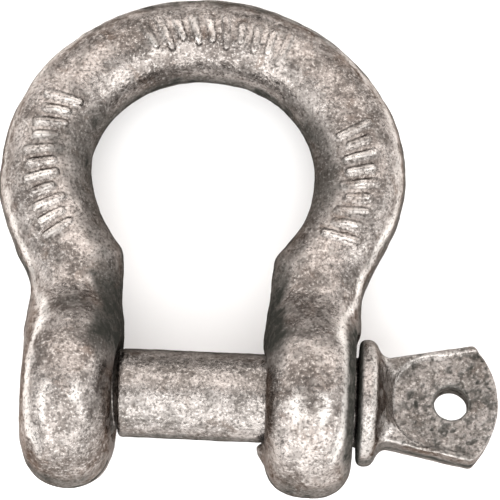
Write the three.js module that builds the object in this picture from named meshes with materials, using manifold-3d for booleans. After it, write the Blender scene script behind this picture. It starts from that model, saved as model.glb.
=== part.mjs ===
// A 10 mm (3/8 in) galvanised bow shackle with a screw pin, lying flat as it rests on a bench.
// Millimetres. X runs along the pin, towards its eye tab. +Y runs towards the crown of the bow. +Z is up.
// The origin is under the middle of the whole shackle, on the surface that it lies on.

import * as THREE from 'three';
import { mergeVertices } from 'three/addons/utils/BufferGeometryUtils.js';
import Module from 'manifold-3d';

// ---- The bow: its centre line, in its own plane, seen from the pin's axis ----
const LEG_OFFSET = 13.4;         // from the middle to each leg's centre line
const BOW_HALF_WIDTH = 17.8;     // from the middle to the centre line at the widest place
const BOW_CENTRE = 25.1;         // from the pin's axis to the widest place
const CROWN = 41.2;              // from the pin's axis to the centre line at the crown
const FLARE = 37 * Math.PI / 180;        // how far each leg turns outwards to meet the bow
const CROWN_RADIUS = 4.7;        // half thickness of the bar at the crown
const SIDE_RADIUS = 5.1;         // and at the widest place
const LEG_RADIUS = 5.3;          // and at the top of the legs
const FOOT_RADIUS = 4.6;         // and inside the ears, where it must not stand out of their flat faces
const FOOT_TOP = 7.6;            // the bar starts to thicken here, just clear of the pin's collar
const LEG_TOP = 13;              // and is at its thickest here

// ---- The ears: the tapped one takes the pin's thread, the plain one is beside the pin's head ----
const EAR_RADIUS = 10.85;
const EAR_ROUNDING = 2.7;        // exponent of the rim's rounded section
const EAR_BULGE = 1.1;           // how much thicker the rounded forging was, before its faces were flattened
const TAPPED_EAR = { inner: -8.35, outer: -18.75 };
const PLAIN_EAR = { inner: 8.4, outer: 18.1 };
const PLAIN_BORE = 5.4;          // radius of the clearance bore

// ---- The thread: M10 x 1.5, right-hand, with crests and roots flattened by the zinc ----
const PITCH = 1.5;
const THREAD_CREST = 4.8;
const THREAD_ROOT = 4.0;
const THREAD_CLEARANCE = 0.25;   // between the pin's thread and the tapped ear, all round
const THREAD_SIDES = 24;
const RINGS_PER_TURN = 4;
const MOUTH_RADIUS = 5.4;        // countersink at both ends of the tapped bore
const MOUTH_DEPTH = 1.2;

// ---- The pin ----
const SHANK_RADIUS = 4.9;
const TIP = TAPPED_EAR.outer + 0.2;      // the threaded end, just inside the tapped ear's outer face
const SHOULDER = TAPPED_EAR.inner + 0.5; // where the thread runs out into the shank's shoulder
const COLLAR_START = PLAIN_EAR.outer + 0.35;     // the pin is a quarter of a turn short of tight
const COLLAR_RADIUS = 7.0;
const COLLAR_WIDTH = 2.35;
const COLLAR_ROUNDING = 0.8;
const NECK_RADIUS = 5.1;         // where the neck leaves the collar
const NECK_END = 26.5;           // where its cone has run down into the tab's faces
const TAB_THICKNESS = 4.4;
const TAB_ROOT_HALF = 4.4;       // half the tab's width where it leaves the collar
const TAB_END_HALF = 6.4;        // and at the corners of its end
const TAB_CORNER = 31.05;        // where those corners are
const TAB_END = 33.75;
const CORNER_RADIUS = 0.7;
const EYE_CENTRE = 28.7;
const EYE_RADIUS = 2.05;
const COINED_RADIUS = 6.6;       // the flats on the tab are round, and centred on its eye
const TAB_TURN = -5.5 * Math.PI / 180;   // how far the flats are turned about the pin, from the bow's plane

// ---- How the shackle lies: on both ears and on the crown ----
const LIE = Math.asin((EAR_RADIUS - CROWN_RADIUS) / CROWN);

const EAR_SIDES = 36;
const BAR_SIDES = 20;
const PIN_SIDES = 30;

const wasm = await Module();
wasm.setup();

function asSolid(geometry) {
  const bare = geometry.clone();
  bare.deleteAttribute('normal');
  bare.deleteAttribute('uv');
  const merged = mergeVertices(bare, 1e-4);
  return new wasm.Manifold(new wasm.Mesh({
    numProp: 3,
    vertProperties: new Float32Array(merged.attributes.position.array),
    triVerts: new Uint32Array(merged.index.array),
  }));
}

function asGeometry(solid) {
  const mesh = solid.getMesh();
  const geometry = new THREE.BufferGeometry();
  geometry.setAttribute('position', new THREE.BufferAttribute(mesh.vertProperties, 3));
  geometry.setIndex(new THREE.BufferAttribute(mesh.triVerts, 1));
  geometry.computeVertexNormals();
  return geometry;
}

// A turned piece about the X axis, from a profile of [along X, radius] points that starts and ends on the axis.
function turned(profile, sides) {
  const points = profile.map(([along, radius]) => new THREE.Vector2(radius, along));
  const geometry = new THREE.LatheGeometry(points, sides);
  return geometry.rotateZ(-Math.PI / 2);
}

// ---- The bow's centre line, on the +X side: leg, flare, then the oval up to the crown ----
class BowLine extends THREE.Curve {
  constructor() {
    super();
    const rise = CROWN - BOW_CENTRE;
    this.rise = rise;
    this.meet = -Math.atan(Math.tan(FLARE) * rise / BOW_HALF_WIDTH);
    this.bend = (BOW_HALF_WIDTH * Math.cos(this.meet) - LEG_OFFSET) / (1 - Math.cos(FLARE));
    this.legTop = BOW_CENTRE + rise * Math.sin(this.meet) - this.bend * Math.sin(FLARE);
    this.ovalLength = (Math.PI / 2 - this.meet) * (rise + BOW_HALF_WIDTH) / 2;
    this.halfLength = this.legTop + this.bend * FLARE + this.ovalLength;
  }

  // t runs from the pin's axis in one ear, over the crown, to the pin's axis in the other ear.
  getPoint(t, target = new THREE.Vector3()) {
    const side = t < 0.5 ? -1 : 1;
    const along = this.halfLength * (1 - Math.abs(2 * t - 1));
    if (along < this.legTop) {
      return target.set(side * LEG_OFFSET, along, 0);
    }
    const turn = (along - this.legTop) / this.bend;
    if (turn < FLARE) {
      const out = LEG_OFFSET + this.bend * (1 - Math.cos(turn));
      return target.set(side * out, this.legTop + this.bend * Math.sin(turn), 0);
    }
    const share = (along - this.legTop - this.bend * FLARE) / this.ovalLength;
    const angle = this.meet + (Math.PI / 2 - this.meet) * share;
    return target.set(side * BOW_HALF_WIDTH * Math.cos(angle), BOW_CENTRE + this.rise * Math.sin(angle), 0);
  }
}

// The bar is thickest at the top of the legs, and thinner at the crown and inside the ears.
function barRadius(height) {
  if (height > BOW_CENTRE) {
    const share = (height - BOW_CENTRE) / (CROWN - BOW_CENTRE);
    return SIDE_RADIUS + (CROWN_RADIUS - SIDE_RADIUS) * share * share;
  }
  const above = THREE.MathUtils.smoothstep(height, LEG_TOP, BOW_CENTRE);
  const below = THREE.MathUtils.smoothstep(height, FOOT_TOP, LEG_TOP);
  return FOOT_RADIUS + (LEG_RADIUS - FOOT_RADIUS) * below + (SIDE_RADIUS - LEG_RADIUS) * above;
}

// A straight cylinder, bent along the bow's centre line and given the bar's thickness at each place.
function bentBar() {
  const steps = 52;
  const line = new BowLine();
  const geometry = new THREE.CylinderGeometry(1, 1, 1, BAR_SIDES, steps);
  const place = geometry.attributes.position;
  for (let i = 0; i < place.count; i += 1) {
    const t = 0.5 - place.getY(i);
    const centre = line.getPoint(t);
    const before = line.getPoint(Math.max(t - 1e-4, 0));
    const tangent = line.getPoint(Math.min(t + 1e-4, 1)).sub(before).normalize();
    const radius = barRadius(centre.y);
    const outward = place.getX(i) * radius;
    place.setXYZ(
      i,
      centre.x - tangent.y * outward,
      centre.y + tangent.x * outward,
      place.getZ(i) * radius,
    );
  }
  return asSolid(geometry);
}

// An ear, as a disc with a full rounded rim and a flattened face on each side.
function ear({ inner, outer }) {
  const rimSteps = 7;
  const face = Math.abs(outer - inner) / 2;
  const bulge = face * EAR_BULGE;
  const upper = [];
  for (let i = 0; i <= rimSteps; i += 1) {
    const half = face * Math.cos(i / rimSteps * Math.PI / 2);
    upper.push([half, EAR_RADIUS * (1 - (half / bulge) ** EAR_ROUNDING) ** (1 / EAR_ROUNDING)]);
  }
  const lower = upper.slice(0, -1).reverse().map(([half, radius]) => [-half, radius]);
  const profile = [[face, 0], ...upper, ...lower, [-face, 0]].reverse();
  return asSolid(turned(profile, EAR_SIDES).translate((inner + outer) / 2, 0, 0));
}

// A right-hand screw along X: a cylinder whose radius rises and falls with the helix.
function screw(from, length, root, crest, phaseAt) {
  const rings = Math.round(length / PITCH * RINGS_PER_TURN);
  const profile = [[from, 0]];
  for (let i = 0; i <= rings; i += 1) {
    profile.push([from + length * i / rings, 1]);
  }
  profile.push([from + length, 0]);
  const geometry = turned(profile, THREAD_SIDES);
  const place = geometry.attributes.position;
  for (let i = 0; i < place.count; i += 1) {
    const around = Math.atan2(place.getZ(i), place.getY(i));
    const turns = (place.getX(i) - phaseAt) / PITCH - around / (2 * Math.PI);
    const wave = 2 * Math.abs(turns - Math.floor(turns) - 0.5);
    const radius = root + (crest - root) * wave;
    place.setXYZ(i, place.getX(i), place.getY(i) * radius, place.getZ(i) * radius);
  }
  return asSolid(geometry);
}

// The bore of the plain ear, as a cylinder that runs past both its faces.
function plainBore() {
  const from = PLAIN_EAR.inner - 2;
  const to = PLAIN_EAR.outer + 2;
  return asSolid(turned([[from, 0], [from, PLAIN_BORE], [to, PLAIN_BORE], [to, 0]], PIN_SIDES));
}

// The bore of the tapped ear: its thread, in step with the pin's, and a countersink at each mouth.
function tappedBore() {
  const turns = Math.ceil((TAPPED_EAR.inner - TIP) / PITCH) + 2;
  const thread = screw(
    TIP - PITCH,
    turns * PITCH,
    THREAD_ROOT + THREAD_CLEARANCE,
    THREAD_CREST + THREAD_CLEARANCE,
    TIP,
  );
  const mouths = turned([
    [TAPPED_EAR.outer - 1, 0],
    [TAPPED_EAR.outer - 1, MOUTH_RADIUS],
    [TAPPED_EAR.outer, MOUTH_RADIUS],
    [TAPPED_EAR.outer + MOUTH_DEPTH, THREAD_ROOT],
    [TAPPED_EAR.inner - MOUTH_DEPTH, THREAD_ROOT],
    [TAPPED_EAR.inner, MOUTH_RADIUS],
    [TAPPED_EAR.inner + 1, MOUTH_RADIUS],
    [TAPPED_EAR.inner + 1, 0],
  ], PIN_SIDES);
  return thread.add(asSolid(mouths));
}

function bowGeometry() {
  const forging = bentBar().add(ear(TAPPED_EAR)).add(ear(PLAIN_EAR));
  return asGeometry(forging.subtract(plainBore()).subtract(tappedBore()));
}

function threadGeometry() {
  return asGeometry(screw(TIP, SHOULDER - TIP, THREAD_ROOT, THREAD_CREST, TIP));
}

function shankGeometry() {
  const profile = [
    [SHOULDER, 0],
    [SHOULDER, THREAD_CREST],
    [SHOULDER + 0.6, SHANK_RADIUS],
    [COLLAR_START, SHANK_RADIUS],
    [COLLAR_START, 0],
  ];
  return asGeometry(asSolid(turned(profile, PIN_SIDES)));
}

// The tab's outline in its own flat: straight flaring sides, rounded corners and an arc across the end.
function tabOutline() {
  const root = COLLAR_START + COLLAR_WIDTH / 2;
  const sagitta = TAB_END - TAB_CORNER;
  const endRadius = (TAB_END_HALF ** 2 + sagitta ** 2) / (2 * sagitta);
  const endCentre = TAB_END - endRadius;
  const sweep = Math.asin((TAB_END_HALF - CORNER_RADIUS) / endRadius);
  const outline = new THREE.Shape();
  outline.moveTo(root, -TAB_ROOT_HALF);
  outline.lineTo(TAB_CORNER - CORNER_RADIUS, -TAB_END_HALF);
  outline.absarc(endCentre, 0, endRadius, -sweep, sweep, false);
  outline.lineTo(TAB_CORNER - CORNER_RADIUS, TAB_END_HALF);
  outline.lineTo(root, TAB_ROOT_HALF);
  outline.closePath();
  const eye = new THREE.Path();
  eye.absarc(EYE_CENTRE, 0, EYE_RADIUS, 0, 2 * Math.PI, true);
  outline.holes.push(eye);
  return outline;
}

// The collar and the neck's cone, with a round flat coined into each side of the neck.
function collarAndNeck() {
  const end = COLLAR_START + COLLAR_WIDTH;
  const profile = [
    [COLLAR_START, 0],
    [COLLAR_START, COLLAR_RADIUS - COLLAR_ROUNDING],
    [COLLAR_START + 0.3 * COLLAR_ROUNDING, COLLAR_RADIUS - 0.3 * COLLAR_ROUNDING],
    [COLLAR_START + COLLAR_ROUNDING, COLLAR_RADIUS],
    [end - COLLAR_ROUNDING, COLLAR_RADIUS],
    [end - 0.3 * COLLAR_ROUNDING, COLLAR_RADIUS - 0.3 * COLLAR_ROUNDING],
    [end, COLLAR_RADIUS - COLLAR_ROUNDING],
    [end, NECK_RADIUS],
    [NECK_END, TAB_THICKNESS / 2],
    [NECK_END, 0],
  ];
  let solid = asSolid(turned(profile, PIN_SIDES));
  for (const side of [-1, 1]) {
    const coin = new THREE.CylinderGeometry(COINED_RADIUS, COINED_RADIUS, NECK_RADIUS, PIN_SIDES);
    const lift = side * (TAB_THICKNESS + NECK_RADIUS) / 2;
    solid = solid.subtract(asSolid(coin.rotateX(Math.PI / 2).translate(EYE_CENTRE, 0, lift)));
  }
  return solid;
}

function headGeometry() {
  const tab = new THREE.ExtrudeGeometry(tabOutline(), {
    depth: TAB_THICKNESS,
    bevelEnabled: false,
    curveSegments: 12,
  });
  tab.translate(0, 0, -TAB_THICKNESS / 2);
  return asGeometry(collarAndNeck().add(asSolid(tab))).rotateX(TAB_TURN);
}

function piece(name, geometry, colour, roughness, metalness) {
  const material = new THREE.MeshStandardMaterial({ color: colour, roughness, metalness });
  const mesh = new THREE.Mesh(geometry, material);
  mesh.name = name;
  return mesh;
}

const bow = piece('bow', bowGeometry(), 0xb9b3ad, 0.45, 0.85);

const pin = new THREE.Group();
pin.add(piece('pin_shank', shankGeometry(), 0xc2bcb6, 0.4, 0.85));
pin.add(piece('pin_thread', threadGeometry(), 0xa8a29c, 0.5, 0.85));
pin.add(piece('pin_head', headGeometry(), 0xb4aea8, 0.45, 0.85));

const shackle = new THREE.Group();
shackle.add(bow, pin);

// Both ears and the crown touch the surface, and the bounding box stands on the origin by the middle of its base.
shackle.rotation.x = -LIE;
const box = new THREE.Box3().setFromObject(shackle, true);
const middle = box.getCenter(new THREE.Vector3());
shackle.position.set(-middle.x, -middle.y, -box.min.z);

export default shackle;
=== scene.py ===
import math
from itertools import product

import bpy
import numpy as np
from mathutils import Matrix, Vector


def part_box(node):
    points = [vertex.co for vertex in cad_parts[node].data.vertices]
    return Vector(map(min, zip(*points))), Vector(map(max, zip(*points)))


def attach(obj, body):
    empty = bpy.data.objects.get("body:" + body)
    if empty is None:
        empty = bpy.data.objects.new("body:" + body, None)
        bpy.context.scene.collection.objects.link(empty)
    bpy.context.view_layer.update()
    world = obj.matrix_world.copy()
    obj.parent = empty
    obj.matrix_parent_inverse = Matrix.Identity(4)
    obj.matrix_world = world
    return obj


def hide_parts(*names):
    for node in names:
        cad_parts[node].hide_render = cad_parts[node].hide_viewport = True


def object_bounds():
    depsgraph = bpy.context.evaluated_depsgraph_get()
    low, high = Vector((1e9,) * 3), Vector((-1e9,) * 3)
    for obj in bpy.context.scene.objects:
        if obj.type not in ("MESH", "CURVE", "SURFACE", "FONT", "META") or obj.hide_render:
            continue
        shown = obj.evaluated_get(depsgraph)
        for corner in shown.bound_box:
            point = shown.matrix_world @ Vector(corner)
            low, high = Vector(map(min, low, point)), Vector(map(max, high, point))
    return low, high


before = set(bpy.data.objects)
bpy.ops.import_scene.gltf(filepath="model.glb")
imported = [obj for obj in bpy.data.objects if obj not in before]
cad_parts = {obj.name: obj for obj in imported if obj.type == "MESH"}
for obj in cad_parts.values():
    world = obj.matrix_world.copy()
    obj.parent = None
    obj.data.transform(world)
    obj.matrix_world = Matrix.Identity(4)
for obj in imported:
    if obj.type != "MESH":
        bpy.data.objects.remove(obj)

CAD_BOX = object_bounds()
MM = 0.001

# ---- The bow, in millimetres ----
# x runs along the pin, u from the pin's axis to the crown, and v up from the bow's plane.
LEG_OFFSET = 13.4           # from the middle to each leg's centre line
BOW_HALF_WIDTH = 17.8       # from the middle to the centre line at the widest place
BOW_CENTRE = 25.1           # the height of the widest place
CROWN = 41.2                # the height of the centre line at the crown
FLARE = math.radians(37)    # how far the bar leans where it spreads from the legs
CROWN_LEAN = 0.1            # the crown is forged this far towards the tapped ear
CROWN_RADIUS = 4.75         # half the bar's thickness at the crown
SIDE_RADIUS = 5.0           # and at the widest place
WAIST = 16.8                # where the bar is thinnest, above each leg
WAIST_RADIUS = 4.65
TAPPED_FILL = 0.35          # the waist above the tapped ear is thicker by this much
LEG_RADIUS = 5.1
LEG_TOP = 11                # the bar keeps the leg's thickness up to here
FOOT_SWELL = 0.2            # how much deeper than wide the bar is where it runs into the ear
COLLAR_RELIEF = 0.45        # the plain leg is thinner beside the collar by this much
KNEE_HEIGHT = 14.3          # where each leg's line meets the oval's
KNEE_SOFTNESS = 0.6         # easing of the knee on its inner side
WAIST_FILL = 1.2            # and on its outer side

# ---- The ears ----
TAPPED_EAR = (-18.25, -8.35)
PLAIN_EAR = (8.4, 18.1)
RIM_DEPTH = 5.2             # each ear's rim is rounded over its whole width, this far in
TAPPED_FULLNESS = 2.15      # 2 would make the rim a plain ellipse, and more makes it squarer
PLAIN_FULLNESS = 2.5
PLAIN_BORE = 5.4
SEAT_MARGIN = 0.6           # the flat seat for the collar is wider than the collar by this much
DRIP = (8.9, -5.5, 0.5)     # a drip of zinc left at the plain ear's inner face
DRIP_RADIUS = 1.3
MOUTH_RADIUS = 5.4          # the countersink at both ends of the tapped bore
MOUTH_DEPTH = 1.2
EAR_BLEND = 2.2             # how softly the bar runs into the ears
DRIP_BLEND = 1.2
SEAT_EDGE = 0.2
BORE_EDGE = 0.3
MOUTH_EASE = 0.8            # brings the countersink's field back to about true distance

# ---- The pin ----
PITCH = 1.5
THREAD_CREST = 4.8
THREAD_ROOT = 4.0
THREAD_CLEARANCE = 0.25     # the tapped ear's thread is wider than the pin's by this much
THREAD_EASE = 0.85          # brings the thread's field back to about true distance
SHANK_RADIUS = 4.9
TIP = -18.55                # the threaded end
TIP_EDGE = 0.4
SHOULDER = -7.85            # where the thread runs out into the shank
SHOULDER_ROUNDING = 0.55
COLLAR_START = 18.45
COLLAR_RADIUS = 7.0
COLLAR_WIDTH = 2.6
COLLAR_ROUNDING = 0.9
COLLAR_SLOPE = 0.35         # how much its back leans
COLLAR_BLEND = 0.4
NECK_RADIUS = 4.7           # where the neck leaves the collar
NECK_END = 25.0             # where it has fallen to the tab's thickness
NECK_EDGE = 0.3
HEAD_BLEND = 1.0            # how softly neck, tab and collar run together
TAB_THICKNESS = 4.4
TAB_ROOT_HALF = 4.6
TAB_END_HALF = 6.6
TAB_CORNER = 31.05
TAB_END = 33.85
TAB_OUTLINE_EDGE = 0.35
TAB_FACE_EDGE = 0.45
EYE_CENTRE = 28.7
EYE_RADIUS = 1.85
EYE_EDGE = 0.5
POCKET_CENTRE = 27.2        # the tab's faces are coined a little lower, inside a border
POCKET_RADIUS = 5.0
POCKET_BORDER = 0.9
POCKET_DEPTH = 0.6
POCKET_LEAN = 0.8           # how much the coined step leans
POCKET_EDGE = 0.3
TAB_LEAN = math.radians(5.5)

# ---- Mesh sizes ----
BOW_STEP = 0.2
PIN_STEP = 0.16

# ---- Where the shackle lies, from the frame ----
bow_low, bow_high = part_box("bow")
shank_low, shank_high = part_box("pin_shank")
EAR_RADIUS = (bow_high.z - bow_low.z) / 2 / MM
LIE = math.asin((EAR_RADIUS - CROWN_RADIUS) / CROWN)
PIN_AXIS = Vector((
    shank_low.x - SHOULDER * MM,
    (shank_low.y + shank_high.y) / 2,
    (shank_low.z + shank_high.z) / 2,
))


def in_row(points):
    """Places in the bow's own millimetres, turned to how the shackle lies, in metres."""
    x, u, v = points.T
    y = u * math.cos(LIE) + v * math.sin(LIE)
    z = v * math.cos(LIE) - u * math.sin(LIE)
    return np.stack([x, y, z], 1) * MM + np.array(PIN_AXIS)


# ---- Tools for rounded shapes: a field is below zero inside a shape, in millimetres ----
TILT = np.array(
    Matrix.Rotation(0.7, 3, "X") @ Matrix.Rotation(0.5, 3, "Y") @ Matrix.Rotation(0.4, 3, "Z")
)
GRID_STEPS = (73856093, 19349663, 83492791)     # large odd numbers that scramble the noise's grid
SEED_STEP = 2654435
SCRAMBLES = ((13, 1274126177), (15, 668265263))


def smooth_min(a, b, k):
    share = np.clip(0.5 + 0.5 * (b - a) / k, 0, 1)
    return b + (a - b) * share - k * share * (1 - share)


def smooth_max(a, b, k):
    return -smooth_min(-a, -b, k)


def smoothstep(value, low, high):
    share = np.clip((value - low) / (high - low), 0, 1)
    return share * share * (3 - 2 * share)


def noise(points, size, seed):
    """Smooth noise from -1 to 1 that changes over about size, the same on every run."""
    scaled = points / size
    base = np.floor(scaled).astype(np.int64)
    part = scaled - base
    part = part * part * (3 - 2 * part)
    total = np.zeros(len(points))
    for corner in product((0, 1), repeat=3):
        at = base + np.array(corner)
        mixed = np.bitwise_xor.reduce(at * np.array(GRID_STEPS), axis=1) ^ seed * SEED_STEP
        for shift, factor in SCRAMBLES:
            mixed = (mixed ^ (mixed >> shift)) * factor & 0x7FFFFFFF
        weight = np.prod(np.where(np.array(corner), part, 1 - part), axis=1)
        total += weight * ((mixed >> 8 & 0xFFFF) / 32767.5 - 1)
    return total


def cloud(points, size, seed, layers=3):
    """Noise with finer and weaker layers added, turned out of line with the axes."""
    turned = points @ TILT
    return sum(noise(turned, size / 2.1 ** i, seed + i) / 1.9 ** i for i in range(layers))


def surface_net(field, low, step):
    """The surface where a sampled field crosses zero, as vertices and quads."""
    inside = field < 0
    cells = tuple(n - 1 for n in field.shape)
    corners = list(product((0, 1), repeat=3))

    def cut(array, corner):
        return array[tuple(slice(c, c + n) for c, n in zip(corner, cells))]

    some = np.zeros(cells, bool)
    every = np.ones(cells, bool)
    for corner in corners:
        some |= cut(inside, corner)
        every &= cut(inside, corner)
    active = some & ~every
    place = np.argwhere(active)
    number = np.full(cells, -1, np.int64)
    number[active] = np.arange(len(place))
    values = {c: field[tuple((place + c).T)] for c in corners}
    total = np.zeros((len(place), 3))
    count = np.zeros(len(place))
    for a in corners:
        for axis in range(3):
            if a[axis]:
                continue
            b = tuple(1 if i == axis else a[i] for i in range(3))
            crossing = (values[a] < 0) != (values[b] < 0)
            share = values[a][crossing] / (values[a][crossing] - values[b][crossing])
            spot = np.tile(np.array(a, float), (len(share), 1))
            spot[:, axis] += share
            total[crossing] += spot
            count[crossing] += 1
    vertices = np.array(low) + step * (place + total / count[:, None])
    quads = []
    for axis in range(3):
        one, two = [i for i in range(3) if i != axis]
        first = np.moveaxis(inside, axis, 0)[:-1]
        second = np.moveaxis(inside, axis, 0)[1:]
        inner = (slice(None), slice(1, -1), slice(1, -1))
        for here, flip in ((first & ~second, False), (second & ~first, True)):
            edges = np.argwhere(here[inner]) + (0, 1, 1)
            spread = np.zeros_like(edges)
            spread[:, axis], spread[:, one], spread[:, two] = edges.T
            ring = []
            for d1, d2 in ((-1, -1), (0, -1), (0, 0), (-1, 0)):
                shift = np.zeros(3, int)
                shift[one], shift[two] = d1, d2
                ring.append(number[tuple((spread + shift).T)])
            quad = np.stack(ring, 1)
            quads.append(quad[:, ::-1] if flip ^ (axis == 1) else quad)
    return vertices, np.concatenate(quads)


def slope(field, points, reach=0.03):
    """The field's gradient at each point."""
    parts = []
    for axis in range(3):
        off = np.zeros(3)
        off[axis] = reach
        parts.append((field(*(points + off).T) - field(*(points - off).T)) / (2 * reach))
    return np.stack(parts, 1)


def settle(field, points, rounds=2):
    """Moves each point onto the field's surface, and returns the points and their normals."""
    for _ in range(rounds):
        gradient = slope(field, points)
        size = np.maximum((gradient ** 2).sum(1), 0.05)
        move = field(*points.T) / size
        points = points - np.clip(move, -0.15, 0.15)[:, None] * gradient
    gradient = slope(field, points)
    return points, gradient / np.maximum(np.linalg.norm(gradient, axis=1), 1e-6)[:, None]


def solid_mesh(field, low, high, step):
    axes = [np.arange(a, b + step, step) for a, b in zip(low, high)]
    x, u, v = np.meshgrid(*axes, indexing="ij", sparse=True)
    sampled = np.broadcast_to(field(x, u, v), [len(a) for a in axes])
    vertices, quads = surface_net(np.ascontiguousarray(sampled), low, step)
    vertices, normals = settle(field, vertices)
    return vertices, normals, quads


# ---- The bow's centre line ----
def oval():
    """Points along one side of the bow, up the leg's flare, round the oval and just past the crown."""
    rise = CROWN - BOW_CENTRE
    meet = -math.atan(math.tan(FLARE) * rise / BOW_HALF_WIDTH)
    angle = np.linspace(meet, math.pi / 2 + 0.3, 420)
    x, u = BOW_HALF_WIDTH * np.cos(angle), BOW_CENTRE + rise * np.sin(angle)
    run = np.linspace(22, 0, 120, endpoint=False)
    flare_x = x[0] - run * math.sin(FLARE)
    flare_u = u[0] - run * math.cos(FLARE)
    return np.concatenate([flare_x, x]), np.concatenate([flare_u, u])


def bar_radius(u):
    share = np.clip((u - BOW_CENTRE) / (CROWN - BOW_CENTRE), 0, 1)
    upper = SIDE_RADIUS + (CROWN_RADIUS - SIDE_RADIUS) * share ** 2
    waist = LEG_RADIUS + (WAIST_RADIUS - LEG_RADIUS) * smoothstep(u, LEG_TOP, WAIST)
    lower = waist + (SIDE_RADIUS - WAIST_RADIUS) * smoothstep(u, WAIST, BOW_CENTRE)
    return np.where(u > BOW_CENTRE, upper, lower)


class BarTable:
    """How far each place in the bow's plane is from the centre line, and how thick the bar is there.

    Each leg meets the oval in a mitre: nearly sharp on the inner side, and filled in on the outer side."""

    STEP = 0.25

    def __init__(self):
        line_x, line_u = oval()
        self.low = np.array([-1.0, -13.0])
        xs = np.arange(self.low[0], 26, self.STEP)
        us = np.arange(self.low[1], 49, self.STEP)
        self.distance = np.zeros((len(xs), len(us)))
        self.radius = np.zeros_like(self.distance)
        for i, x in enumerate(xs):
            squares = (line_x[:, None] - x) ** 2 + (line_u[:, None] - us) ** 2
            nearest = squares.argmin(0)
            to_oval = np.sqrt(squares.min(0))
            to_leg = np.hypot(x - LEG_OFFSET, np.minimum(us, 0))
            past = (x - LEG_OFFSET) * math.sin(FLARE / 2) + (us - KNEE_HEIGHT) * math.cos(FLARE / 2)
            aside = (x - LEG_OFFSET) * math.cos(FLARE / 2) - (us - KNEE_HEIGHT) * math.sin(FLARE / 2)
            mitre = np.where(past > 0, to_oval, to_leg)
            soft = np.maximum(WAIST_FILL * smoothstep(aside, 0, LEG_RADIUS), 1e-3)
            sharp = np.maximum(KNEE_SOFTNESS * smoothstep(-aside, 0, LEG_RADIUS), 1e-3)
            eased = np.where(aside > 0, smooth_min(to_leg, to_oval, soft), smooth_max(to_leg, to_oval, sharp))
            share = 1 - smoothstep(np.abs(past), 3, 5.5)
            self.distance[i] = mitre + (eased - mitre) * share
            self.radius[i] = bar_radius(np.where(us > BOW_CENTRE, line_u[nearest], us))

    def at(self, x, u):
        a = (np.abs(x) - self.low[0]) / self.STEP
        b = (u - self.low[1]) / self.STEP
        a, b = np.broadcast_arrays(a, b)
        i = np.clip(a.astype(int), 0, self.distance.shape[0] - 2)
        j = np.clip(b.astype(int), 0, self.distance.shape[1] - 2)
        s, t = a - i, b - j

        def mix(table):
            low = table[i, j] * (1 - t) + table[i, j + 1] * t
            high = table[i + 1, j] * (1 - t) + table[i + 1, j + 1] * t
            return low * (1 - s) + high * s

        return mix(self.distance), mix(self.radius)


BAR = BarTable()


def bar_field(x, u, v):
    flat, radius = BAR.at(x + CROWN_LEAN * smoothstep(u, 28, CROWN), u)
    relief = smoothstep(x, LEG_OFFSET - 3, LEG_OFFSET + 1) * (1 - smoothstep(u, COLLAR_RADIUS, LEG_TOP))
    thick = 1 + FOOT_SWELL * (1 - smoothstep(u, 7, 12))
    fill = smoothstep(-x, 0, 8) * smoothstep(u, LEG_TOP, WAIST) * (1 - smoothstep(u, 21, 27))
    radius = radius - COLLAR_RELIEF * relief + TAPPED_FILL * fill
    return np.sqrt(flat ** 2 + (v / thick) ** 2) - radius


def ear_field(x, u, v, faces, fullness):
    """A disc about the pin's axis, with a rim that is rounded over its whole width."""
    half = (faces[1] - faces[0]) / 2
    across = np.abs(x - sum(faces) / 2) / half
    out = np.maximum(np.sqrt(u ** 2 + v ** 2) - EAR_RADIUS + RIM_DEPTH, 0) / RIM_DEPTH
    level = (across ** fullness + out ** fullness) ** (1 / fullness)
    return (level - 1) * half


def thread_radius(x, u, v, extra):
    """A right-hand thread. The pin and the tapped ear share it, so they stay in step."""
    turns = (x - TIP) / PITCH - np.arctan2(v, u) / (2 * math.pi)
    wave = 2 * np.abs(turns - np.floor(turns) - 0.5)
    wave = smoothstep(wave, -0.15, 1.15)
    return THREAD_ROOT + extra + (THREAD_CREST - THREAD_ROOT) * wave


def bow_field(x, u, v):
    out = np.sqrt(u ** 2 + v ** 2)
    tapped_ear = ear_field(x, u, v, TAPPED_EAR, TAPPED_FULLNESS)
    plain_ear = ear_field(x, u, v, PLAIN_EAR, PLAIN_FULLNESS)
    forging = smooth_min(bar_field(x, u, v), np.minimum(tapped_ear, plain_ear), EAR_BLEND)
    drip = np.sqrt((x - DRIP[0]) ** 2 + (u - DRIP[1]) ** 2 + (v - DRIP[2]) ** 2) - DRIP_RADIUS
    forging = smooth_min(forging, drip, DRIP_BLEND)
    seat = np.maximum(PLAIN_EAR[1] - x, out - COLLAR_RADIUS - SEAT_MARGIN)
    forging = smooth_max(forging, -seat, SEAT_EDGE)
    plain = np.maximum(out - PLAIN_BORE, -x)
    tapped = np.maximum(out - thread_radius(x, u, v, THREAD_CLEARANCE), x)
    depth = np.minimum(x - TAPPED_EAR[0], TAPPED_EAR[1] - x)
    mouth = MOUTH_RADIUS - (MOUTH_RADIUS - THREAD_ROOT) * depth / MOUTH_DEPTH
    mouths = np.maximum(out - mouth, x) * MOUTH_EASE
    bores = np.minimum(np.minimum(plain, tapped), mouths)
    return smooth_max(forging, -bores, BORE_EDGE)


def tab_axes(u, v):
    """Across the tab's width, and through its thickness."""
    across = u * math.cos(TAB_LEAN) - v * math.sin(TAB_LEAN)
    through = u * math.sin(TAB_LEAN) + v * math.cos(TAB_LEAN)
    return across, through


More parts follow.
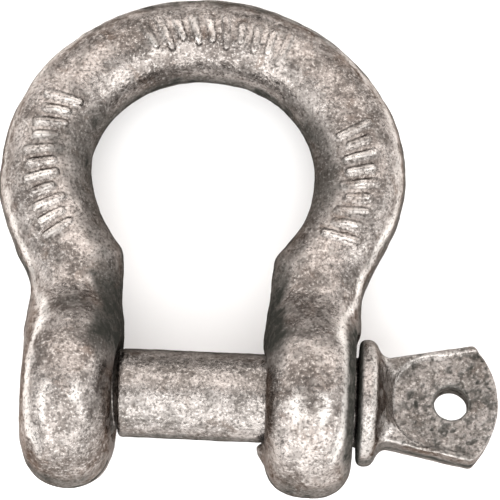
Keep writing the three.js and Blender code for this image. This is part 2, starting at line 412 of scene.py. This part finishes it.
def pin_field(x, u, v):
    out = np.sqrt(u ** 2 + v ** 2)
    across, through = tab_axes(u, v)
    shank = smooth_max(out - SHANK_RADIUS, SHOULDER - x, SHOULDER_ROUNDING)
    shank = np.maximum(shank, x - COLLAR_START - 1)
    thread = np.maximum(out - thread_radius(x, u, v, 0), x - SHOULDER - 1)
    thread = smooth_max(thread * THREAD_EASE, TIP - x, TIP_EDGE)
    back = x - COLLAR_START - COLLAR_WIDTH + COLLAR_SLOPE * (out - NECK_RADIUS)
    collar = smooth_max(np.maximum(COLLAR_START - x, back), out - COLLAR_RADIUS, COLLAR_ROUNDING)
    neck_start = COLLAR_START + COLLAR_WIDTH
    fall = (NECK_RADIUS - TAB_THICKNESS / 2) / (NECK_END - neck_start)
    cone = (out - NECK_RADIUS + fall * (x - neck_start)) / math.hypot(1, fall)
    cone = smooth_max(cone, neck_start - 1 - x, NECK_EDGE)
    flare = (TAB_END_HALF - TAB_ROOT_HALF) / (TAB_CORNER - neck_start)
    sides = (np.abs(across) - TAB_ROOT_HALF - flare * (x - neck_start)) / math.hypot(1, flare)
    sagitta = TAB_END - TAB_CORNER
    end_radius = (TAB_END_HALF ** 2 + sagitta ** 2) / (2 * sagitta)
    end = np.sqrt((x - TAB_END + end_radius) ** 2 + across ** 2) - end_radius
    end = np.where(x > TAB_END - end_radius, end, x - TAB_END)
    outline = smooth_max(smooth_max(sides, end, TAB_OUTLINE_EDGE), neck_start - x, NECK_EDGE)
    tab = smooth_max(outline, np.abs(through) - TAB_THICKNESS / 2, TAB_FACE_EDGE)
    head = smooth_min(cone, tab, HEAD_BLEND)
    height = np.abs(through) - TAB_THICKNESS / 2 + POCKET_DEPTH
    round_end = np.sqrt((x - POCKET_CENTRE) ** 2 + across ** 2) - POCKET_RADIUS
    lane = np.abs(across) - TAB_ROOT_HALF - flare * (x - neck_start) + POCKET_BORDER
    pocket = np.where(x < POCKET_CENTRE, round_end, lane)
    step = (pocket - POCKET_LEAN * height) / math.hypot(1, POCKET_LEAN)
    pocket = smooth_max(step, -height, POCKET_EDGE)
    head = smooth_max(head, -pocket, POCKET_EDGE)
    eye = np.sqrt((x - EYE_CENTRE) ** 2 + across ** 2)
    head = smooth_max(head, EYE_RADIUS - eye, EYE_EDGE)
    body = smooth_min(shank, thread, 0.2)
    return smooth_min(smooth_min(body, collar, COLLAR_BLEND), head, HEAD_BLEND)


# ---- Forged and dipped surface: unevenness, raised marks and the parting line, with painted shade and painted highlights ----
MARK_HEIGHT = 0.38
MARK_SPACING = 1.75
MARK_HALF_LENGTHS = (1.75, 1.2, 1.5, 0.95)
MARK_HALF_WIDTH = 0.3
MARK_LEAN = 0.22
MARK_GROUPS = ((150, 214), (58, 116), (-30, 24))     # degrees round the bow, from +x towards the crown


def mark_height(points, normals):
    """Rows of slanting raised ticks on the bow's upper face, of four lengths in turn.

    They form no letters."""
    x, u = points.T[:2]
    rise = CROWN - BOW_CENTRE
    angle = np.arctan2((u - BOW_CENTRE) / rise, x / BOW_HALF_WIDTH)
    angle = np.where(angle < -math.pi / 2, angle + 2 * math.pi, angle)
    line = np.hypot(BOW_HALF_WIDTH * np.cos(angle), rise * np.sin(angle))
    across = np.hypot(x, u - BOW_CENTRE) - line
    height = np.zeros(len(points))
    for first, last in MARK_GROUPS:
        length = math.radians(last - first) * BOW_HALF_WIDTH
        for i in range(int(length / MARK_SPACING)):
            along = (angle - math.radians(first)) * BOW_HALF_WIDTH - (i + 0.5) * MARK_SPACING
            half = MARK_HALF_LENGTHS[i % len(MARK_HALF_LENGTHS)]
            way = np.clip(across, -half, half)
            gap = np.hypot(along - MARK_LEAN * way, across - way) - MARK_HALF_WIDTH
            height = np.maximum(height, 1 - smoothstep(gap, -0.1, 0.32))
    wear = np.clip(1 + 0.5 * noise(points, 1.4, 77), 0.5, 1.3)
    return MARK_HEIGHT * height * wear * smoothstep(normals[:, 2], 0.35, 0.7)


def bow_relief(points, normals):
    """How far the surface stands out, and how much darker its low spots are drawn, with painted shadow round
    the foot of each raised mark.
    """
    x, u, v = points.T
    reach = np.hypot(u, v)
    seat = smoothstep(x, PLAIN_EAR[1] - 0.6, PLAIN_EAR[1] - 0.2) * (1 - smoothstep(reach, COLLAR_RADIUS, 8.5))
    open_air = smoothstep(reach, PLAIN_BORE, PLAIN_BORE + 1) * (1 - seat)
    on_bar = smoothstep(u, 11, 14)
    uneven = cloud(points, 6, 11)
    lumps = cloud(points, 1.5, 23)
    seam = np.exp(-(v / 0.45) ** 2) * (0.12 + 0.06 * noise(points, 2.5, 5)) * on_bar
    marks = mark_height(points, normals) * on_bar
    height = 0.11 * uneven + 0.045 * lumps + seam + marks
    # Painted shadow round the foot of each raised mark.
    foot = smoothstep(marks, 0.0, 0.08) * smoothstep(-marks, -0.22, -0.1)
    hollow = 0.25 * smoothstep(-lumps, 0.15, 0.9) + 0.1 * foot
    return height * open_air, hollow * open_air


def pin_relief(points, normals):
    x = points[:, 0]
    on_tab = smoothstep(x, COLLAR_START + COLLAR_WIDTH, EYE_CENTRE - 4)
    flat = smoothstep(np.abs(tab_axes(normals[:, 1], normals[:, 2])[1]), 0.6, 0.9)
    on_tab = on_tab * flat
    at_seat = smoothstep(x, COLLAR_START - 0.6, COLLAR_START - 0.3)
    at_seat = at_seat * (1 - smoothstep(x, COLLAR_START + 0.2, COLLAR_START + 0.6))
    beyond = smoothstep(x, TAPPED_EAR[1] + 0.3, TAPPED_EAR[1] + 1.5) * (1 - at_seat)
    uneven = cloud(points, 4, 31)
    lumps = cloud(points, 1.1, 41, 2)
    pits = np.minimum(cloud(points, 0.6, 51, 2), 0.1)
    height = 0.05 * uneven * (0.5 + on_tab) + 0.03 * lumps + 0.16 * on_tab * pits
    hollow = 0.2 * smoothstep(-lumps, 0.2, 0.9) + on_tab * (0.2 + 0.5 * smoothstep(-pits, 0.25, 0.5))
    return height * beyond, hollow * beyond


def make_piece(name, field, relief, painted_shade_and_dull_zinc, painted_highlight, low, high, step):
    """Makes a field into a mesh, laid as the shackle lies, with its painted shade and painted highlights
    stored at each vertex.
    """
    vertices, normals, quads = solid_mesh(field, low, high, step)
    height, hollow = relief(vertices, normals)
    places = in_row(vertices + normals * height[:, None])
    places[:, 2] = np.maximum(places[:, 2], 0)
    mesh = bpy.data.meshes.new(name)
    mesh.from_pydata(places.tolist(), [], quads.tolist())
    mesh.shade_smooth()
    # Painted shade, with darker low spots, and painted highlights, kept at each vertex.
    layers = {"painted_shade_and_dull_zinc": painted_shade_and_dull_zinc(vertices, normals) + hollow, "painted_highlight": painted_highlight(vertices, normals)}
    for label, values in layers.items():
        layer = mesh.attributes.new(label, "FLOAT", "POINT")
        layer.data.foreach_set("value", np.clip(values, 0, 1).astype(np.float32))
    piece = bpy.data.objects.new(name, mesh)
    bpy.context.scene.collection.objects.link(piece)
    return piece


def parting_line_shade(normals, v, strength):
    """The line where the two forging dies met, drawn dark on the steep side faces: partly the die line
    itself, partly painted shade.
    """
    return strength * smoothstep(-np.abs(normals[:, 2]), -0.24, -0.08) * np.exp(-(v / 0.9) ** 2)


def bow_painted_shade_and_dull_zinc(points, normals):
    """How dark and dull the zinc is drawn: painted shade on the inner sides, beside the collar, on slopes
    facing the crown and on the steep sides, with the parting line and a little random unevenness.
    """
    x, u, v = points.T
    inward = -np.sign(x) * normals[:, 0]
    uneven = cloud(points, 2.2, 61)
    legs = smoothstep(u, 1, 5) * (1 - smoothstep(u, 9, 18))
    # Painted shade on the legs' inner sides.
    inner = smoothstep(inward + 0.15 * uneven, 0.3, 0.8) * legs
    ring = x / BOW_HALF_WIDTH
    # Painted shade on the inner side of the oval.
    bore = 0.7 * smoothstep(inward * np.abs(ring) + 0.1 * uneven, 0.1, 0.8) * smoothstep(u, 9, 14)
    # Painted shade on the plain ear's face beside the collar.
    collar = smoothstep(x, 13, 16) * smoothstep(-inward, 0.6, 0.9)
    collar = collar * (1 - smoothstep(u, 6, 9)) * smoothstep(u, -12, -5)
    # Painted shade on slopes facing the crown.
    crownward = 0.75 * smoothstep(normals[:, 1] + 0.08 * uneven, 0.55, 0.85)
    ears = 1 - smoothstep(u, 8, 11)
    # Painted shade on the steep sides, along the outline.
    flank = smoothstep(-np.abs(normals[:, 2]), -0.36 - 0.14 * ears, -0.2 - 0.08 * ears)
    flank = 0.62 * flank * (1 - 0.7 * smoothstep(inward, 0.4, 0.8) * (1 - smoothstep(u, -1, 3)))
    flank = flank * (1 - smoothstep(np.abs(v), 2, 5))
    # Painted shade along the parting line on the steep sides, partly the die line itself.
    seam = parting_line_shade(normals, v, 0.9)
    seam = seam * (1 - smoothstep(np.abs(normals[:, 0]), 0.93, 0.99) * ears)
    dull = np.max([inner, bore, collar, crownward, flank, seam], axis=0)
    return np.clip(dull + 0.1 * uneven, 0, 0.92)


def bow_painted_highlight(points, normals):
    """Painted highlights on the zinc: a painted reflection along the outer flanks beside their dark parting
    line, painted highlight streaks on the ears and painted highlights on the raised marks.
    """
    x, u = points.T[:2]
    ring = np.stack([x / BOW_HALF_WIDTH, (u - BOW_CENTRE) / (CROWN - BOW_CENTRE)])
    ring = ring / np.maximum(np.linalg.norm(ring, axis=0), 1e-6)
    round_bow = ring[0] * normals[:, 0] + ring[1] * normals[:, 1]
    on_leg = 1 - smoothstep(u, 10, 16)
    outward = round_bow + (np.sign(x) * normals[:, 0] - round_bow) * on_leg
    ears = 1 - smoothstep(u, 8, 11)
    # Painted reflection along the outer flanks.
    tilt = np.abs(normals[:, 2]) + 0.08 * cloud(points, 2, 65) - 0.16 * ears
    band = smoothstep(tilt, 0.34, 0.42) * (1 - smoothstep(tilt, 0.5, 0.62))
    band = band * smoothstep(outward, 0.3, 0.6) * (0.7 + 0.3 * noise(points, 3, 67))
    # Painted highlight streaks on the ears' faces.
    middle = np.where(x < 0, sum(TAPPED_EAR), sum(PLAIN_EAR)) / 2
    streaks = np.exp(-((np.abs(x - middle) - 1.6) / 0.6) ** 2)
    streaks = streaks * smoothstep(u, -6, -4) * (1 - smoothstep(u, -1.5, 0))
    streaks = 0.7 * streaks * smoothstep(noise(points, 1.2, 69), -0.5, 0.2)
    # Painted highlights on the marks' tops.
    marks = 0.5 * smoothstep(mark_height(points, normals), 0.2, 0.4)
    marks = marks * smoothstep(noise(points, 0.9, 79), -0.6, 0.5)
    return np.max([band, streaks, marks], axis=0)


def pin_painted_shade_and_dull_zinc(points, normals):
    """How dark and dull the pin's zinc is drawn: painted shade at the collar's seat, on the steep sides, on
    slopes facing the crown and in the eye, darker on the thread, with the parting line and a little random
    unevenness.
    """
    x, u, v = points.T
    # Painted shade on the collar's face against the ear.
    back = smoothstep(COLLAR_START + 0.6 - x, 0, 0.4) * smoothstep(np.hypot(u, v), SHANK_RADIUS + 0.3, 6)
    thread = 0.5 * smoothstep(SHOULDER - x, 0, 1)
    # Painted shade on the steep sides and on slopes facing the crown.
    flank = smoothstep(-np.abs(normals[:, 2]), -0.4, -0.2) * (1 - smoothstep(x, NECK_END - 3, NECK_END)) * 0.6
    flank = np.maximum(flank, 0.7 * smoothstep(normals[:, 1], 0.7, 0.92))
    eye = np.hypot(x - EYE_CENTRE, tab_axes(u, v)[0])
    # Painted shade in the eye.
    in_eye = 0.7 * smoothstep(EYE_RADIUS + 0.35 - eye, 0, 0.25)
    flank = flank * (1 - smoothstep(np.abs(v), 1.5, 4))
    # Painted shade along the parting line on the steep sides, partly the die line itself.
    seam = parting_line_shade(normals, v, 0.85)
    seam = seam * (1 - smoothstep(np.abs(normals[:, 0]), 0.6, 0.9))
    dull = np.max([back + thread, flank, in_eye, seam], axis=0)
    return np.clip(dull + 0.08 * cloud(points, 2, 71), 0, 1)


def pin_painted_highlight(points, normals):
    """Painted highlight on the pin: a little, where the head's surface slants."""
    x = points[:, 0]
    tilt = np.abs(normals[:, 2]) + 0.1 * cloud(points, 2, 73)
    on_head = smoothstep(x, COLLAR_START, COLLAR_START + 0.5)
    return 0.3 * on_head * smoothstep(tilt, 0.35, 0.5) * (1 - smoothstep(tilt, 0.7, 0.9))


# ---- Materials ----
# The colour of painted highlights.
PAINTED_HIGHLIGHT_COLOUR = (0.8, 0.76, 0.72)
SPARK_COLOUR = (0.68, 0.645, 0.61)
# The colour of painted shade.
PAINTED_SHADE_AND_DULL_ZINC_COLOUR = (0.032, 0.032, 0.028)


def zinc(name, light, dark, stain, coarse, speck):
    """Galvanised zinc: mottled and finely pitted, dark and dull where the painted shade is strong, and bright
    where the painted highlight is.

    Coarse and speck are the sizes of its patches and of its mottling, in millimetres."""
    material = bpy.data.materials.new(name)
    material.use_nodes = True
    nodes, links = material.node_tree.nodes, material.node_tree.links
    nodes.clear()
    output = nodes.new("ShaderNodeOutputMaterial")
    shader = nodes.new("ShaderNodeBsdfPrincipled")
    links.new(shader.outputs["BSDF"], output.inputs["Surface"])
    where = nodes.new("ShaderNodeTexCoord").outputs["Object"]

    def grain(size_mm, detail, roughness=0.6, distortion=0.0):
        node = nodes.new("ShaderNodeTexNoise")
        node.inputs["Scale"].default_value = 1 / (size_mm * MM)
        node.inputs["Detail"].default_value = detail
        node.inputs["Roughness"].default_value = roughness
        node.inputs["Distortion"].default_value = distortion
        links.new(where, node.inputs["Vector"])
        return node.outputs["Fac"]

    def ramp(value, *stops):
        node = nodes.new("ShaderNodeValToRGB")
        elements = node.color_ramp.elements
        while len(elements) < len(stops):
            elements.new(0.5)
        for element, (position, colour) in zip(elements, stops):
            element.position = position
            element.color = (*colour, 1)
        links.new(value, node.inputs["Fac"])
        return node.outputs["Color"]

    def maths(operation, a, b):
        node = nodes.new("ShaderNodeMath")
        node.operation = operation
        for socket, value in zip(node.inputs, (a, b)):
            if isinstance(value, (int, float)):
                socket.default_value = value
            else:
                links.new(value, socket)
        return node.outputs[0]

    def mix(share, a, b):
        node = nodes.new("ShaderNodeMix")
        node.data_type = "RGBA"
        links.new(share, node.inputs["Factor"])
        for socket, value in ((node.inputs["A"], a), (node.inputs["B"], b)):
            if isinstance(value, tuple):
                socket.default_value = (*value, 1)
            else:
                links.new(value, socket)
        return node.outputs["Result"]

    def grey(value):
        return (value, value, value)

    def attribute(label):
        node = nodes.new("ShaderNodeAttribute")
        node.attribute_name = label
        return node.outputs["Fac"]

    middle = tuple((a + b) / 2 for a, b in zip(light, dark))
    patches = grain(coarse, 3)
    mottle = grain(speck, 5, 0.65, 0.3)
    fine = grain(0.32, 3, 0.65)
    blend = maths("ADD", maths("MULTIPLY", patches, 0.5), maths("MULTIPLY", mottle, 0.5))
    base = ramp(blend, (0.42, dark), (0.5, middle), (0.58, light))
    stains = ramp(grain(3.2, 3, 0.6, 0.8), (0.56, grey(0)), (0.7, grey(1)))
    base = mix(maths("MULTIPLY", stains, 0.5), base, stain)
    # Painted highlights, from the vertex attribute.
    painted_highlight = attribute("painted_highlight")
    base = mix(painted_highlight, base, PAINTED_HIGHLIGHT_COLOUR)
    pits = ramp(fine, (0.38, grey(1)), (0.46, grey(0)))
    base = mix(maths("MULTIPLY", pits, 0.7), base, tuple(c * 0.35 for c in dark))
    sparks = ramp(fine, (0.56, grey(0)), (0.64, grey(1)))
    base = mix(maths("MULTIPLY", sparks, 0.45), base, SPARK_COLOUR)
    # Painted shade, from the vertex attribute: made dark, less metallic and rougher.
    painted_shade_and_dull_zinc = attribute("painted_shade_and_dull_zinc")
    shade_and_dullness = maths("MULTIPLY", painted_shade_and_dull_zinc, maths("ADD", maths("MULTIPLY", mottle, 1.3), 0.35))
    shade_and_dullness = maths("MINIMUM", shade_and_dullness, 1.0)
    base = mix(shade_and_dullness, base, PAINTED_SHADE_AND_DULL_ZINC_COLOUR)
    links.new(base, shader.inputs["Base Color"])
    shader.inputs["Specular IOR Level"].default_value = 0.0
    shader.inputs["Specular Tint"].default_value = (0.32, 0.28, 0.26, 1)
    links.new(maths("SUBTRACT", 1.0, maths("MULTIPLY", shade_and_dullness, 0.75)), shader.inputs["Metallic"])
    rough = maths("ADD", maths("MULTIPLY", mottle, 0.26), 0.1)
    rough = maths("ADD", rough, maths("MULTIPLY", shade_and_dullness, 0.45))
    links.new(rough, shader.inputs["Roughness"])
    bump = nodes.new("ShaderNodeBump")
    bump.inputs["Strength"].default_value = 0.75
    bump.inputs["Distance"].default_value = 0.15 * MM
    links.new(maths("ADD", mottle, maths("MULTIPLY", fine, 0.4)), bump.inputs["Height"])
    links.new(bump.outputs["Normal"], shader.inputs["Normal"])
    return material


bow = make_piece(
    "bow_forging", bow_field, bow_relief, bow_painted_shade_and_dull_zinc, bow_painted_highlight,
    (-BOW_HALF_WIDTH - 6, -EAR_RADIUS - 0.6, -EAR_RADIUS - 0.6),
    (BOW_HALF_WIDTH + 6, CROWN + CROWN_RADIUS + 0.6, EAR_RADIUS + 0.6),
    BOW_STEP,
)
bow.data.materials.append(zinc(
    "zinc_on_bow",
    light=(0.38, 0.344, 0.32),
    dark=(0.135, 0.117, 0.106),
    stain=(0.17, 0.125, 0.10),
    coarse=5.0,
    speck=1.1,
))
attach(bow, "bow")
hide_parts("bow")

pin = make_piece(
    "screw_pin", pin_field, pin_relief, pin_painted_shade_and_dull_zinc, pin_painted_highlight,
    (TIP - 0.5, -COLLAR_RADIUS - 0.7, -COLLAR_RADIUS - 0.7),
    (TAB_END + 0.7, COLLAR_RADIUS + 0.7, COLLAR_RADIUS + 0.7),
    PIN_STEP,
)
pin.data.materials.append(zinc(
    "zinc_on_pin",
    light=(0.36, 0.33, 0.31),
    dark=(0.14, 0.125, 0.114),
    stain=(0.17, 0.135, 0.115),
    coarse=4.0,
    speck=0.8,
))
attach(pin, "pin_screw")
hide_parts("pin_shank", "pin_thread", "pin_head")


# ---- Floor, light and camera ----
FLOOR_HALF = 1.5
CAMERA_LEAN_X = math.radians(1.70)      # from straight above, towards +X
CAMERA_LEAN_Y = math.radians(4.92)      # and towards the pin
CAMERA_ROLL = math.radians(2.55)
CAMERA_DISTANCE = 0.26
SEEN_WIDTH = 55.67 * MM
AIM_OFFSET = Vector((0.41, -0.83, -0.09)) * MM      # from the middle of the CAD box


def pale_floor():
    corners = [(x * FLOOR_HALF, y * FLOOR_HALF, 0) for x, y in ((-1, -1), (1, -1), (1, 1), (-1, 1))]
    mesh = bpy.data.meshes.new("floor")
    mesh.from_pydata(corners, [], [(0, 1, 2, 3)])
    floor = bpy.data.objects.new("floor", mesh)
    bpy.context.scene.collection.objects.link(floor)
    material = bpy.data.materials.new("pale_floor")
    material.use_nodes = True
    shader = material.node_tree.nodes["Principled BSDF"]
    shader.inputs["Base Color"].default_value = (0.96, 0.96, 0.96, 1)
    shader.inputs["Roughness"].default_value = 0.9
    shader.inputs["Specular IOR Level"].default_value = 0.1
    mesh.materials.append(material)


def soft_light(name, place, aim, width, height, brightness, colour=(1, 1, 1)):
    """A soft box whose middle is at place, facing aim. Brightness times pi is its power per area."""
    data = bpy.data.lights.new(name, "AREA")
    data.shape = "RECTANGLE"
    data.size, data.size_y = width, height
    data.energy = brightness * math.pi * width * height
    data.color = colour
    light = bpy.data.objects.new(name, data)
    bpy.context.scene.collection.objects.link(light)
    light.location = place
    way = Vector(place) - Vector(aim)
    light.rotation_euler = way.to_track_quat("Z", "Y").to_euler()


def camera():
    """Looks almost straight down, leaning a little towards +X and towards the pin."""
    low, high = CAD_BOX
    aim = (low + high) / 2 + AIM_OFFSET
    back = Vector((math.tan(CAMERA_LEAN_X), -math.tan(CAMERA_LEAN_Y), 1)).normalized()
    right = Vector((0, 1, 0)).cross(back).normalized()
    up = back.cross(right)
    cos, sin = math.cos(CAMERA_ROLL), math.sin(CAMERA_ROLL)
    right, up = cos * right + sin * up, cos * up - sin * right
    data = bpy.data.cameras.new("camera")
    data.sensor_width = 36
    data.lens = data.sensor_width * CAMERA_DISTANCE / SEEN_WIDTH
    data.clip_start, data.clip_end = 0.01, 10
    view = bpy.data.objects.new("camera", data)
    bpy.context.scene.collection.objects.link(view)
    turned = Matrix((right, up, back)).transposed().to_4x4()
    turned.translation = aim + back * CAMERA_DISTANCE
    view.matrix_world = turned
    bpy.context.scene.camera = view


pale_floor()
soft_light("ceiling", (0, -0.58, 0.36), (0, -0.58, 0), 1.5, 1.1, 2.9)
soft_light("front", (0, -0.95, 0.2), (0, 0, 0.01), 1.5, 0.38, 1.5)
soft_light("back", (0, 0.33, 0.36), (0, 0, 0.01), 1.5, 0.6, 2.1, (1, 0.95, 0.92))
soft_light("left", (-0.6, 0, 0.16), (0, 0, 0.01), 0.9, 0.3, 1.2)
soft_light("right", (0.6, 0, 0.16), (0, 0, 0.01), 0.9, 0.3, 1.2)
world = bpy.data.worlds.new("studio")
world.use_nodes = True
world.node_tree.nodes["Background"].inputs["Color"].default_value = (0.9, 0.9, 0.9, 1)
world.node_tree.nodes["Background"].inputs["Strength"].default_value = 0.25
bpy.context.scene.world = world
bpy.context.scene.view_settings.view_transform = "Standard"
camera()
